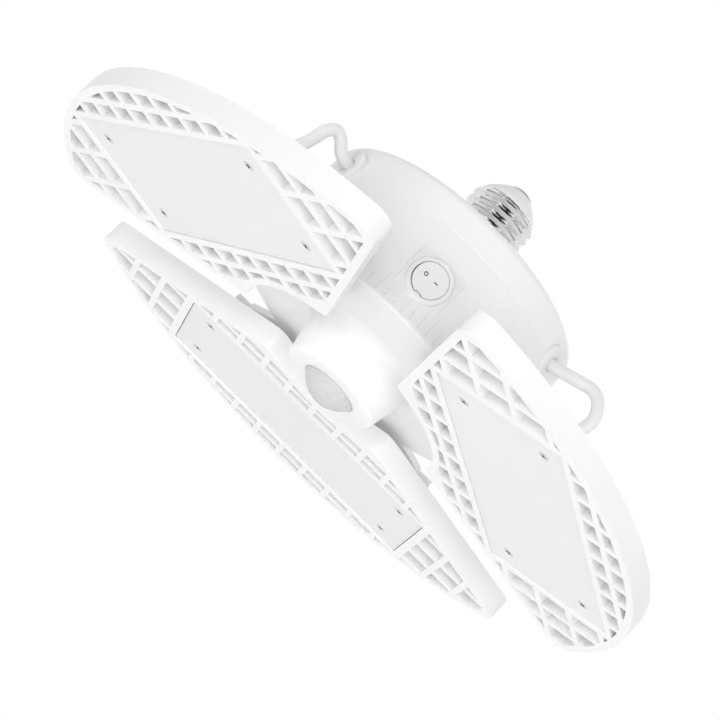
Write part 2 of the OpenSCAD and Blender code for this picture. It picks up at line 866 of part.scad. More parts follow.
// A smooth point between two route points, on the curve that passes through all of them
function smooth(a, b, c, d, t) = 0.5 * ((2 * b) + (c - a) * t + (2 * a - 5 * b + 4 * c - d) * t * t
    + (3 * b - a - 3 * c + d) * t * t * t);

function refined(path) = let (last = len(path) - 1) concat(
    [for (k = [0:last - 1], t = [0, 0.5])
        smooth(path[max(k - 1, 0)], path[k], path[k + 1], path[min(k + 2, last)], t)],
    [path[last]]);

// Route of a cable from its grommet round its loop and down into its gland
function route(loop) = concat([[grommet_face, 0, seam]],
    [for (p = loop) [grommet_face + p[0], 0, seam + p[1]]],
    [[gland_distance + 0.3, 0, gland_top + 11], [gland_distance, 0, gland_top + 5.5], [gland_distance, 0, gland_top]]);

// Direction of a route at one of its points
function heading(p, k) = let (ahead = p[min(k + 1, len(p) - 1)], behind = p[max(k - 1, 0)])
    (ahead - behind) / norm(ahead - behind);

function ring(centre, forward) = let (across = [0, 1, 0], up = cross(forward, across))
    [for (k = [0:cable_sides - 1]) let (a = (k + 0.5) * 360 / cable_sides)
        centre + cable_radius * (cos(a) * across + sin(a) * up)];

module cable(loop) {
    p = refined(route(loop));
    rings = len(p);
    points = [for (k = [0:rings - 1]) each ring(p[k], k == 0 ? [1, 0, 0] : k == rings - 1 ? [0, 0, -1] : heading(p, k))];
    sides = [for (k = [0:rings - 2], s = [0:cable_sides - 1]) let (
        a = k * cable_sides + s,
        b = k * cable_sides + (s + 1) % cable_sides,
        c = b + cable_sides,
        d = a + cable_sides) each [[a, b, c], [a, c, d]]];
    start = [[for (s = [cable_sides - 1:-1:0]) s]];
    end = [[for (s = [0:cable_sides - 1]) (rings - 1) * cable_sides + s]];
    polyhedron(points = points, faces = concat(sides, start, end), convexity = 6);
}

module turned(direction, paint) {
    color(paint)
    rotate([0, 0, direction])
    children();
}

screw_shell();
cap_insulator();
cap_contact();
top_cover();
cover_screws();
housing_body();
driver_board();
driver_transformer();
driver_capacitor();
sensor_housing();
sensor_lens();
sensor_board();
sensor_element();
switch_body();
switch_rocker();
turned(RIGHT, "whitesmoke") grommet();  // right_grommet
turned(LEFT, "whitesmoke") grommet();  // left_grommet
turned(REAR, "whitesmoke") grommet();  // rear_grommet
turned(RIGHT, "gainsboro") cable(RIGHT_LOOP);  // right_cable
turned(LEFT, "gainsboro") cable(LEFT_LOOP);  // left_cable
turned(REAR, "gainsboro") cable(REAR_LOOP);  // rear_cable
turned(RIGHT, "lightgray") bracket();  // right_bracket
turned(LEFT, "lightgray") bracket();  // left_bracket
turned(REAR, "lightgray") bracket();  // rear_bracket
turned(RIGHT, "dimgray") bracket_screws();  // right_bracket_screws
turned(LEFT, "dimgray") bracket_screws();  // left_bracket_screws
turned(REAR, "dimgray") bracket_screws();  // rear_bracket_screws
turned(RIGHT, "silver") hinge_pins();  // right_hinge_pins
turned(LEFT, "silver") hinge_pins();  // left_hinge_pins
turned(REAR, "silver") hinge_pins();  // rear_hinge_pins
turned(RIGHT, "white") leaf_frame();  // right_leaf_frame
turned(LEFT, "white") leaf_frame();  // left_leaf_frame
turned(REAR, "white") leaf_frame();  // rear_leaf_frame
turned(RIGHT, "ghostwhite") led_board();  // right_led_board
turned(LEFT, "ghostwhite") led_board();  // left_led_board
turned(REAR, "ghostwhite") led_board();  // rear_led_board
turned(RIGHT, "khaki") leds();  // right_leds
turned(LEFT, "khaki") leds();  // left_leds
turned(REAR, "khaki") leds();  // rear_leds
turned(RIGHT, "gainsboro") diffuser();  // right_diffuser
turned(LEFT, "gainsboro") diffuser();  // left_diffuser
turned(REAR, "gainsboro") diffuser();  // rear_diffuser
turned(RIGHT, "dimgray") diffuser_screws();  // right_diffuser_screws
turned(LEFT, "dimgray") diffuser_screws();  // left_diffuser_screws
turned(REAR, "dimgray") diffuser_screws();  // rear_diffuser_screws
turned(RIGHT, "whitesmoke") gland();  // right_gland
turned(LEFT, "whitesmoke") gland();  // left_gland
turned(REAR, "whitesmoke") gland();  // rear_gland
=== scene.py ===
# %% [markdown]
# # A garage light with three folding leaves
# This file dresses a garage light that is already built as solid parts: a round drum under a screw cap, a motion
# sensor, a rocker switch, and three lattice leaves that fold up on hinges. The solid parts come in first and hold
# every size. What follows softens their edges, adds the fine pieces and gives each surface its finish.

# %% Load the solid parts
import bpy
import json
import math
from mathutils import Matrix, Vector

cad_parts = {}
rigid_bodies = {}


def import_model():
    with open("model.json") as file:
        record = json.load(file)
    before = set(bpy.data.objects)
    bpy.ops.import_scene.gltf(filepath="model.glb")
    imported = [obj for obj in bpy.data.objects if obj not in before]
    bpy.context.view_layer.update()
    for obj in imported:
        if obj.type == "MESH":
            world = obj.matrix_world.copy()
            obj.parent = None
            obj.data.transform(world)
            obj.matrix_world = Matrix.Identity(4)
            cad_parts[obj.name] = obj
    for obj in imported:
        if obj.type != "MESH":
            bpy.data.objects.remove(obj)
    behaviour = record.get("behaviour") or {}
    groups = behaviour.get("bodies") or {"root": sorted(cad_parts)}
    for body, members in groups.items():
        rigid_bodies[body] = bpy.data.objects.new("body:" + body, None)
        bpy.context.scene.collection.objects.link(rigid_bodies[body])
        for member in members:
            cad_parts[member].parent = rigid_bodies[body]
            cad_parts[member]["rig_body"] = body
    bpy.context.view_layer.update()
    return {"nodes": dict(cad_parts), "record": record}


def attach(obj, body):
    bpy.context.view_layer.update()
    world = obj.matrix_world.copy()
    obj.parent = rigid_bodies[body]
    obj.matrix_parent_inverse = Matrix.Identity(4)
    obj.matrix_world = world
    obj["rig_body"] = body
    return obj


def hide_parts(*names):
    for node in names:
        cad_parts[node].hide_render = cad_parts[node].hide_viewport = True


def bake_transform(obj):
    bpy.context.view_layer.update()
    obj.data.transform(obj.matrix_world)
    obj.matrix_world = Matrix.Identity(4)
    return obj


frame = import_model()
nodes = frame["nodes"]
MM = 0.001
SIDES = {"right": -30, "left": -150, "rear": 90}
print("solid parts:", len(nodes))

# %% [markdown]
# ## The camera
# The photograph was taken from below the lamp with a long lens, and the lamp hangs at 45 degrees in the picture.
# A camera could be placed by eye, but its place was worked out from the corners of the leaves. So it is stated as
# a distance, two angles, a small offset of the aim and a roll.

# %% Place the camera
def direction(azimuth, elevation):
    """The way to look for a bearing, counted from the front round to the right, and a height angle."""
    return Vector((math.sin(azimuth) * math.cos(elevation), -math.cos(azimuth) * math.cos(elevation),
                   math.sin(elevation)))


def look_from(target, distance, azimuth, elevation, aim_right, aim_up, roll):
    out = direction(azimuth, elevation)
    forward = -out
    right = forward.cross(Vector((0, 0, 1))).normalized()
    up = right.cross(forward)
    forward = (forward + right * math.tan(aim_right) + up * math.tan(aim_up)).normalized()
    right = forward.cross(up).normalized()
    up = right.cross(forward)
    tilted_right = right * math.cos(roll) + up * math.sin(roll)
    tilted_up = up * math.cos(roll) - right * math.sin(roll)
    place = Matrix((tilted_right, tilted_up, -forward)).transposed().to_4x4()
    place.translation = target + out * distance
    return place


bpy.ops.object.camera_add()
camera = bpy.context.object
camera.name = "camera"
camera.data.sensor_width = 36
camera.data.lens = 143.1
camera.data.clip_start = 0.01
camera.data.clip_end = 50
camera.matrix_world = look_from(Vector((0, 0, -0.0705)), 0.9753, math.radians(1.40), math.radians(-16.80),
                                math.radians(0.04), math.radians(0.57), math.radians(44.96))
bpy.context.scene.camera = camera
print("camera at", [round(v, 4) for v in camera.matrix_world.translation])

# %% [markdown]
# ## Small helpers for modelling
# An operator works on everything that is selected, so each step first lets go of what was chosen before. A solid
# part is never changed: where its edges need rounding, a copy of its mesh is welded, bevelled and shown in its place.

# %% Helpers
def let_go():
    if bpy.context.object and bpy.context.object.mode != "OBJECT":
        bpy.ops.object.mode_set(mode="OBJECT")
    bpy.ops.object.select_all(action="DESELECT")


def choose(piece):
    let_go()
    piece.select_set(True)
    bpy.context.view_layer.objects.active = piece


def set_in_place(piece):
    choose(piece)
    bpy.ops.object.transform_apply(location=True, rotation=True, scale=True)


def finish_modifiers(piece):
    choose(piece)
    for modifier in list(piece.modifiers):
        bpy.ops.object.modifier_apply(modifier=modifier.name)


def smooth_to(piece, angle):
    choose(piece)
    bpy.ops.object.shade_smooth_by_angle(angle=math.radians(angle))


def soft_copy(node, radius, steps=2, sharper_than=30, flat=0.4):
    piece = bpy.data.objects.new(node + "_soft", nodes[node].data.copy())
    bpy.context.scene.collection.objects.link(piece)
    choose(piece)
    bpy.ops.object.mode_set(mode="EDIT")
    bpy.ops.mesh.select_all(action="SELECT")
    bpy.ops.mesh.remove_doubles(threshold=1e-6)
    bpy.ops.mesh.dissolve_limited(angle_limit=math.radians(flat))
    bpy.ops.object.mode_set(mode="OBJECT")
    bevel = piece.modifiers.new("round edges", "BEVEL")
    bevel.width = radius * MM
    bevel.segments = steps
    bevel.limit_method = "ANGLE"
    bevel.angle_limit = math.radians(sharper_than)
    bevel.use_clamp_overlap = True
    bevel.harden_normals = False
    finish_modifiers(piece)
    smooth_to(piece, 40)
    level = piece.modifiers.new("keep faces flat", "WEIGHTED_NORMAL")
    level.keep_sharp = True
    level.weight = 100
    finish_modifiers(piece)
    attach(piece, nodes[node]["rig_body"])
    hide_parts(node)
    return piece


def turn_about_axis(piece, degrees):
    piece.data.transform(Matrix.Rotation(math.radians(degrees), 4, "Z"))


def revolve(name, profile, steps, closed=True):
    """A round piece, spun from its half section of (radius, height) points in millimetres."""
    mesh = bpy.data.meshes.new(name)
    last = len(profile) - 1
    lines = [(k, k + 1) for k in range(last)] + ([(last, 0)] if closed else [])
    mesh.from_pydata([(reach * MM, 0, height * MM) for reach, height in profile], lines, [])
    piece = bpy.data.objects.new(name, mesh)
    bpy.context.scene.collection.objects.link(piece)
    choose(piece)
    bpy.ops.object.mode_set(mode="EDIT")
    bpy.ops.mesh.select_all(action="SELECT")
    bpy.ops.mesh.spin(steps=steps, angle=math.radians(360), center=(0, 0, 0), axis=(0, 0, 1))
    bpy.ops.mesh.select_all(action="SELECT")
    bpy.ops.mesh.remove_doubles(threshold=2e-6)
    bpy.ops.mesh.normals_make_consistent(inside=False)
    bpy.ops.object.mode_set(mode="OBJECT")
    return piece


def drill(piece, cutter):
    """Takes the cutter's shape out of the piece, and throws the cutter away."""
    cut = piece.modifiers.new("drill", "BOOLEAN")
    cut.operation = "DIFFERENCE"
    cut.solver = "EXACT"
    cut.object = cutter
    finish_modifiers(piece)
    bpy.data.objects.remove(cutter, do_unlink=True)


def rod(radius, length, place, turn=(0, 0, 0), sides=64):
    bpy.ops.object.select_all(action="DESELECT")
    bpy.ops.mesh.primitive_cylinder_add(vertices=sides, radius=radius * MM, depth=length * MM,
                                        location=[value * MM for value in place],
                                        rotation=[math.radians(value) for value in turn])
    piece = bpy.context.object
    set_in_place(piece)
    return piece


def join_all(pieces, name):
    let_go()
    for piece in pieces:
        piece.select_set(True)
    bpy.context.view_layer.objects.active = pieces[0]
    if len(pieces) > 1:
        bpy.ops.object.join()
    whole = bpy.context.object
    whole.name = name
    return whole


def rounded_corner(reach, height, radius, start, stop, steps=6):
    """Points of a round edge about (reach, height), from one angle to another in degrees."""
    turn = (stop - start) / steps
    return [(reach + radius * math.cos(math.radians(start + k * turn)),
             height + radius * math.sin(math.radians(start + k * turn))) for k in range(steps + 1)]


# %% [markdown]
# ## The three cables
# Each leaf is fed by a white sheathed cable 4.5 mm thick. It leaves the drum through a grommet in the seam, makes
# a short loop outwards and goes down into a gland on the back of its leaf. A curve with a round bevel is the
# natural way to make it. The curve is then turned into a mesh.

# %% Cables
GROMMET_FACE = 55.8
CABLE_SINK = 0.8
SEAM = -23
GLAND_DISTANCE = 78
GLAND_TOP = -53.3
LOOPS = {
    "right": [(5, 0), (12.5, 0.5), (17.5, 0.6), (22.2, -2.1), (25.3, -7.6), (24.9, -12.5)],
    "left": [(4.2, 0.4), (8, 3.1), (11.7, 3.8), (14.5, 0.2), (15.7, -5.5), (18.4, -13)],
    "rear": [(5, 0), (11.5, 0.8), (17, 0.2), (21, -3.5), (23.4, -9), (23.8, -14)],
}
CABLE = 4.5


def whole_route(loop):
    middle = [(GROMMET_FACE + out, 0, SEAM + up) for out, up in loop]
    down = [(GLAND_DISTANCE + 0.3, 0, GLAND_TOP + 11), (GLAND_DISTANCE, 0, GLAND_TOP + 5.5),
            (GLAND_DISTANCE, 0, GLAND_TOP)]
    return [(GROMMET_FACE - CABLE_SINK, 0, SEAM)] + middle + down


def smooth_route(points, parts=6):
    line = []
    last = len(points) - 1
    for k in range(last):
        a, b, c, d = (Vector(points[min(max(k + j, 0), last)]) for j in (-1, 0, 1, 2))
        for step in range(parts):
            t = step / parts
            line.append(0.5 * (2 * b + (c - a) * t + (2 * a - 5 * b + 4 * c - d) * t * t
                               + (3 * b - a - 3 * c + d) * t * t * t))
    return line + [Vector(points[last])]


def lay_cable(side):
    turn = Matrix.Rotation(math.radians(SIDES[side]), 3, "Z")
    line = [turn @ point * MM for point in smooth_route(whole_route(LOOPS[side]))]
    curve = bpy.data.curves.new(side + "_cable_line", "CURVE")
    curve.dimensions = "3D"
    curve.bevel_depth = CABLE / 2 * MM
    curve.bevel_resolution = 6
    curve.use_fill_caps = True
    spline = curve.splines.new("POLY")
    spline.points.add(len(line) - 1)
    for point, place in zip(spline.points, line):
        point.co = (*place, 1)
    piece = bpy.data.objects.new(side + "_cable_sheath", curve)
    bpy.context.scene.collection.objects.link(piece)
    choose(piece)
    bpy.ops.object.convert(target="MESH")
    piece = bpy.context.object
    smooth_to(piece, 60)
    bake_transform(piece)
    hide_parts(side + "_cable")
    return piece


cables = {side: lay_cable(side) for side in SIDES}

# %% [markdown]
# ## White plastic
# Nearly all of the lamp is one glossy white moulded plastic. Its colour is almost flat, but a real moulding has
# faint flow mottling, a fine skin that breaks the reflections, and a roughness that wanders a little. That detail
# is a node group, so that every plastic piece can use it with its own strength and scale.

# %% Moulded skin group
def noise(tree, place, scale, detail, roughness):
    node = tree.nodes.new("ShaderNodeTexNoise")
    node.inputs["Scale"].default_value = scale
    node.inputs["Detail"].default_value = detail
    node.inputs["Roughness"].default_value = roughness
    tree.links.new(place, node.inputs["Vector"])
    return node.outputs["Fac"]


def build_moulded_skin():
    group = bpy.data.node_groups.new("moulded skin", "ShaderNodeTree")
    for way, name, kind in (("INPUT", "Place", "Vector"), ("INPUT", "Colour", "Color"), ("INPUT", "Mottle", "Float"),
                            ("INPUT", "Roughness", "Float"), ("INPUT", "Grain", "Float"),
                            ("OUTPUT", "Colour", "Color"), ("OUTPUT", "Roughness", "Float"),
                            ("OUTPUT", "Height", "Float")):
        group.interface.new_socket(name, in_out=way, socket_type="NodeSocket" + kind)
    take = group.nodes.new("NodeGroupInput")
    give = group.nodes.new("NodeGroupOutput")
    clouds = noise(group, take.outputs["Place"], 26, 3, 0.55)
    specks = noise(group, take.outputs["Place"], 900, 2, 0.5)
    grain = noise(group, take.outputs["Place"], 2600, 2, 0.6)
    darker = group.nodes.new("ShaderNodeMix")
    darker.data_type = "RGBA"
    darker.blend_type = "MULTIPLY"
    darker.inputs["B"].default_value = (0.86, 0.87, 0.88, 1)
    shade = group.nodes.new("ShaderNodeMath")
    shade.operation = "MULTIPLY"
    group.links.new(clouds, shade.inputs[0])
    group.links.new(take.outputs["Mottle"], shade.inputs[1])
    group.links.new(shade.outputs[0], darker.inputs["Factor"])
    group.links.new(take.outputs["Colour"], darker.inputs["A"])
    group.links.new(darker.outputs["Result"], give.inputs["Colour"])
    wander = group.nodes.new("ShaderNodeMath")
    wander.operation = "MULTIPLY_ADD"
    wander.inputs[1].default_value = 0.12
    group.links.new(specks, wander.inputs[0])
    group.links.new(take.outputs["Roughness"], wander.inputs[2])
    group.links.new(wander.outputs[0], give.inputs["Roughness"])
    lift = group.nodes.new("ShaderNodeMath")
    lift.operation = "MULTIPLY"
    group.links.new(grain, lift.inputs[0])
    group.links.new(take.outputs["Grain"], lift.inputs[1])
    group.links.new(lift.outputs[0], give.inputs["Height"])
    return group


moulded_skin = build_moulded_skin()
print("node group:", moulded_skin.name)


def plastic(name, colour, roughness, grain, mottle=0.25, coat=0.0, scatter=0.0):
    material = bpy.data.materials.new(name)
    material.use_nodes = True
    tree = material.node_tree
    shader = tree.nodes["Principled BSDF"]
    where = tree.nodes.new("ShaderNodeTexCoord")
    skin = tree.nodes.new("ShaderNodeGroup")
    skin.node_tree = moulded_skin
    tree.links.new(where.outputs["Object"], skin.inputs["Place"])
    skin.inputs["Colour"].default_value = (*colour, 1)
    skin.inputs["Mottle"].default_value = mottle
    skin.inputs["Roughness"].default_value = roughness
    skin.inputs["Grain"].default_value = grain
    bump = tree.nodes.new("ShaderNodeBump")
    bump.inputs["Strength"].default_value = 0.35
    bump.inputs["Distance"].default_value = 0.00006
    tree.links.new(skin.outputs["Height"], bump.inputs["Height"])
    tree.links.new(skin.outputs["Colour"], shader.inputs["Base Color"])
    tree.links.new(skin.outputs["Roughness"], shader.inputs["Roughness"])
    tree.links.new(bump.outputs["Normal"], shader.inputs["Normal"])
    shader.inputs["Coat Weight"].default_value = coat
    shader.inputs["Coat Roughness"].default_value = 0.12
    shader.inputs["Subsurface Weight"].default_value = scatter
    shader.inputs["Subsurface Scale"].default_value = 0.002
    return material


white_plastic = plastic("white_plastic", (0.86, 0.862, 0.866), 0.24, 0.4)
switch_plastic = plastic("switch_plastic", (0.84, 0.843, 0.848), 0.24, 0.3)
insulator_plastic = plastic("insulator_plastic", (0.82, 0.823, 0.828), 0.42, 0.3)
cable_white = plastic("cable_white", (0.87, 0.872, 0.876), 0.38, 0.8)
diffuser_plastic = plastic("diffuser_plastic", (0.80, 0.802, 0.806), 0.5, 1.0)
lens_plastic = plastic("lens_plastic", (0.56, 0.564, 0.57), 0.08, 0.2)
# The bracket paint is white enamel, set paler than the plastic partly as painted light: the paler colour lifts the
# shade that falls on the brackets under the rear leaf.
bracket_paint = plastic("bracket_paint", (0.92, 0.922, 0.926), 0.35, 1.0)
circuit_board = plastic("circuit_board", (0.80, 0.81, 0.79), 0.4, 0.5)
driver_parts = plastic("driver_parts", (0.03, 0.03, 0.032), 0.45, 1.0)
led_resin = plastic("led_resin", (0.85, 0.72, 0.2), 0.3, 0.5)
mark_ink = plastic("mark_ink", (0.09, 0.09, 0.095), 0.4, 0.5)

# %% [markdown]
# ## Metals
# The screw cap is thin brass sheet with bright nickel plating, the contact on its top is solder, and the small screws
# are zinc plated. All need a fully metallic shader. Fine streaks run round the cap from spinning, so its noise is
# squeezed along the axis.

# %% Plated metals
def plated(name, colour, roughness, stretch):
    material = bpy.data.materials.new(name)
    material.use_nodes = True
    tree = material.node_tree
    shader = tree.nodes["Principled BSDF"]
    where = tree.nodes.new("ShaderNodeTexCoord")
    squeeze = tree.nodes.new("ShaderNodeMapping")
    squeeze.inputs["Scale"].default_value = stretch
    tree.links.new(where.outputs["Object"], squeeze.inputs["Vector"])
    streaks = noise(tree, squeeze.outputs["Vector"], 300, 4, 0.6)
    dull = tree.nodes.new("ShaderNodeMapRange")
    dull.inputs["To Min"].default_value = roughness * 0.6
    dull.inputs["To Max"].default_value = roughness * 1.6
    tree.links.new(streaks, dull.inputs["Value"])
    tree.links.new(dull.outputs["Result"], shader.inputs["Roughness"])
    tone = tree.nodes.new("ShaderNodeMix")
    tone.data_type = "RGBA"
    tone.inputs["A"].default_value = (*colour, 1)
    tone.inputs["B"].default_value = (*[c * 0.9 for c in colour], 1)
    tree.links.new(streaks, tone.inputs["Factor"])
    tree.links.new(tone.outputs["Result"], shader.inputs["Base Color"])
    shader.inputs["Metallic"].default_value = 1
    return material


cap_metal = plated("cap_metal", (0.96, 0.96, 0.96), 0.06, (0.3, 0.3, 4))
contact_solder = plated("contact_solder", (0.97, 0.97, 0.97), 0.6, (1, 1, 1))
screw_metal = plated("screw_metal", (0.72, 0.72, 0.73), 0.28, (1, 1, 1))

# %% [markdown]
# ## Finishes on the solid parts
# Every solid part gets the finish that the record names for it. The contact button alone is dull solder.

# %% Give each solid part its finish
FINISHES = {"white_plastic": white_plastic, "switch_plastic": switch_plastic, "insulator_plastic": insulator_plastic,
            "cable_white": cable_white, "diffuser_plastic": diffuser_plastic, "lens_plastic": lens_plastic,
            "cap_metal": cap_metal, "screw_metal": screw_metal, "bracket_paint": bracket_paint,
            "circuit_board": circuit_board, "driver_parts": driver_parts, "led_resin": led_resin}
SLOTS = {entry["node"]: entry["material_slot"] for entry in frame["record"]["subparts"]}


def give_finish(piece, slot):
    piece.data.materials.clear()
    piece.data.materials.append(FINISHES[slot])


for name, part in nodes.items():
    give_finish(part, SLOTS[name])
nodes["cap_contact"].data.materials.clear()
nodes["cap_contact"].data.materials.append(contact_solder)
for cable_piece in cables.values():
    give_finish(cable_piece, "cable_white")
print("finished", len(nodes), "solid parts")

# %% [markdown]
# ## The drum
# The drum is a round moulding with a plain band at its rim, fine cooling grooves that fade upwards, and a flat pad
# for the switch. Its solid has coarse facets, so the wall is spun again from its half section in many steps. The
# grooves and the pad are then pressed into the wall by moving the points of that fine mesh.

# %% Spin the drum wall
RIM = -58
RIM_ROUND = 1.2
BAND_TOP = RIM + 14
DRUM_RADIUS = 55.5
SEAM_RADIUS = 54
SEAM_BEVEL = 0.2
WALL = 2.4
DRUM_FLOOR = 3
WIRE_HOLE = 6
GROOVES = 90
STEPS_PER_GROOVE = 12


def wall_radius(height):
    if height <= BAND_TOP:
        return DRUM_RADIUS
    return DRUM_RADIUS + (SEAM_RADIUS - DRUM_RADIUS) * (height - BAND_TOP) / (SEAM - BAND_TOP)


heights = ([RIM + RIM_ROUND, RIM + 1.7, RIM + 2.1, RIM + 2.5] + [RIM + 3 + k for k in range(25)]
           + [RIM + 30, SEAM - SEAM_BEVEL])
drum_profile = ([(WIRE_HOLE, RIM), (40, RIM)]
                + rounded_corner(DRUM_RADIUS - RIM_ROUND, RIM + RIM_ROUND, RIM_ROUND, -90, 0)[:-1]
                + [(wall_radius(height), height) for height in heights]
                + [(SEAM_RADIUS - SEAM_BEVEL, SEAM), (SEAM_RADIUS - WALL, SEAM),
                   (SEAM_RADIUS - WALL, RIM + DRUM_FLOOR), (WIRE_HOLE, RIM + DRUM_FLOOR)])
drum = revolve("drum_wall", drum_profile, GROOVES * STEPS_PER_GROOVE)
print("drum faces:", len(drum.data.polygons))

# %% Press in the grooves
GROOVE_START = RIM + 2.3
GROOVE_DEPTH = 0.4
GROOVE_LENGTH = 9.5
GROOVE_WANDER = 3
GROOVE_SHARES = {5: 0.15, 6: 1.0, 7: 0.45}
groove_turn = math.radians(360 / GROOVES)
for vertex in drum.data.vertices:
    x, y, z = (value / MM for value in vertex.co)
    reach = math.hypot(x, y)
    if reach < SEAM_RADIUS - 0.5 or not GROOVE_START < z:
        continue
    number, across = divmod(math.atan2(y, x) / groove_turn, 1)
    share = GROOVE_SHARES.get(round(across * STEPS_PER_GROOVE), 0)
    length = GROOVE_LENGTH + GROOVE_WANDER * math.sin(number * 2.4)
    if share and z < GROOVE_START + length:
        depth = GROOVE_DEPTH * share * (1 - (z - GROOVE_START) / length)
        shrink = (reach - depth) / reach
        vertex.co.x *= shrink
        vertex.co.y *= shrink
print("grooves:", GROOVES)

# %% Press in the flat pad for the switch
SWITCH_CENTRE = -42
SWITCH_PLANE = 55.1
SWITCH_HOLE = 7.45
PAD_HALF_WIDTH = 9.3
PAD_HALF_HEIGHT = 9.5
PAD_FADE = 5
for vertex in drum.data.vertices:
    x, y, z = (value / MM for value in vertex.co)
    if y > -50 or math.hypot(x, y) < SEAM_RADIUS - 0.6 or abs(x) > PAD_HALF_WIDTH:
        continue
    fade = min(max((PAD_HALF_HEIGHT - abs(z - SWITCH_CENTRE)) / PAD_FADE, 0), 1)
    fade = fade * fade * (3 - 2 * fade)
    vertex.co.y += fade * (-SWITCH_PLANE - y) * MM
drill(drum, rod(SWITCH_HOLE, 12, (0, -53, SWITCH_CENTRE), (90, 0, 0)))
smooth_to(drum, 28)
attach(drum, "lamp")
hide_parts("housing_body")
give_finish(drum, "white_plastic")
print("drum faces:", len(drum.data.polygons))

# %% [markdown]
# ## The top cover
# The cover closes the drum, and its collar carries the screw cap. A small bevel on both sides of the seam makes the
# thin shadow line between the two mouldings. Three deep round holes take the cover's screws.

# %% Spin the cover
COVER_TOP = -11
SHOULDER = 3.5
COLLAR_RADIUS = 14.5
COVER_FIT = 0.1
SCREW_HOLE = 3.1
SCREW_DISTANCE = 45.5
spigot = SEAM_RADIUS - WALL - COVER_FIT
cover_profile = ([(spigot - 1.6, SEAM - 3), (spigot, SEAM - 3), (spigot, SEAM), (SEAM_RADIUS - SEAM_BEVEL, SEAM),
                  (SEAM_RADIUS, SEAM + SEAM_BEVEL), (SEAM_RADIUS, SEAM + 4)]
                 + rounded_corner(SEAM_RADIUS - SHOULDER, COVER_TOP - SHOULDER, SHOULDER, 0, 90, 12)
                 + [(40, COVER_TOP), (18.2, COVER_TOP), (17.4, COVER_TOP + 0.25), (16.9, COVER_TOP + 0.8)]
                 + rounded_corner(COLLAR_RADIUS - 0.5, -0.5, 0.5, 0, 90)
                 + [(13.3, 0), (13.3, -0.6), (11.4, -0.6), (11.4, 11.5), (6, 11.5), (6, -13.4),
                    (spigot - 1.6, -13.4)])
cover = revolve("drum_cover", cover_profile, 256)
for turn in (0, 120, 240):
    angle = math.radians(turn)
    drill(cover, rod(SCREW_HOLE, 4, (SCREW_DISTANCE * math.cos(angle), SCREW_DISTANCE * math.sin(angle), COVER_TOP),
                     sides=40))
smooth_to(cover, 30)
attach(cover, "lamp")
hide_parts("top_cover")
give_finish(cover, "white_plastic")
print("cover faces:", len(cover.data.polygons))

# %% [markdown]
# ## The motion sensor
# A short tapered cup hangs under the drum, with a soft round edge and a milky lens in its middle. The lens of such a
# sensor is a dome of small lenslets in rings. They are raised by pushing out the points of a spun dome, and a slight
# ripple makes them look uneven, as moulded ones do.

# %% Spin the sensor cup
SENSOR_FACE = -75.5
cup_profile = ([(10.7, SENSOR_FACE + 2), (10.7, SENSOR_FACE + 0.3), (11, SENSOR_FACE), (14, SENSOR_FACE)]
               + rounded_corner(17.6, SENSOR_FACE + 1.7, 1.7, -90, 8, 10)
               + [(21, -65.8), (22, -61.6), (22.4, -60.1), (23.1, -59), (24.2, -58.3), (25.4, RIM), (17.3, RIM),
                  (17.3, SENSOR_FACE + 2)])
cup = revolve("sensor_cup", cup_profile, 192)
smooth_to(cup, 35)
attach(cup, "lamp")
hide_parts("sensor_housing")
give_finish(cup, "white_plastic")
print("cup faces:", len(cup.data.polygons))

# %% Shape the lens
LENS_RADIUS = 10.6
LENS_BULGE = 6
LENS_SINK = 0.35
LENSLET_RISE = 0.32
RIPPLE = 0.16
ball = (LENS_RADIUS ** 2 + LENS_BULGE ** 2) / (2 * LENS_BULGE)
ball_centre = SENSOR_FACE - LENS_BULGE + ball
edge_angle = math.asin(LENS_RADIUS / ball)
RINGS = 48


def dome_point(share, radius):
    angle = edge_angle * share
    return radius * math.sin(angle), ball_centre - radius * math.cos(angle)


outside = [dome_point(k / RINGS, ball - LENS_SINK) for k in range(RINGS + 1)]
outside[-1] = (LENS_RADIUS, SENSOR_FACE)
inside = [dome_point(1 - k / 12, ball - 1.3) for k in range(13)]
lens = revolve("sensor_dome", outside + [(LENS_RADIUS, SENSOR_FACE + 2), (13, SENSOR_FACE + 2),
                                         (13, SENSOR_FACE + 3), (9.3, SENSOR_FACE + 3)] + inside, 144, closed=False)
LENSLET_BANDS = ((0.0, 0.24, 1), (0.24, 0.5, 7), (0.5, 0.76, 11), (0.76, 0.97, 14))
for vertex in lens.data.vertices:
    x, y, z = (value / MM for value in vertex.co)
    away = Vector((x, y, z - ball_centre))
    if away.length < ball - 0.8 or z > SENSOR_FACE - 0.2:
        continue
    share = math.acos(min(-away.z / away.length, 1)) / edge_angle
    for low, high, count in LENSLET_BANDS:
        if low <= share < high:
            middle = (low + high) / 2 if count > 1 else 0
            half = (high - low) / 2 if count > 1 else high
            along = (share - middle) / half
            across = ((math.atan2(y, x) / math.radians(360) * count + low * 2) % 1 - 0.5) * 2 if count > 1 else 0
            uneven = 0.7 + 0.3 * math.sin(17 * x + 3 * low) * math.cos(13 * y)
            ripple = RIPPLE * math.sin(2.7 * x + 1.3 * y) * math.cos(2.9 * y - 0.8 * x)
            lift = min(LENSLET_RISE * uneven * (1 - along * along) * (1 - across * across) + ripple, LENS_SINK - 0.01)
            vertex.co += away.normalized() * lift * MM
smooth_to(lens, 35)
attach(lens, "lamp")
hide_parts("sensor_lens")
give_finish(lens, "lens_plastic")
print("lens faces:", len(lens.data.polygons))

# %% [markdown]
# ## The rocker switch
# The switch is a round rocker in a soft round bezel, marked with a ring for off and a stroke for on. It is shaped
# lying flat, with its face up, and then turned to face forward. A small tab in the bezel fills a notch in the
# rocker, as on the real switch.

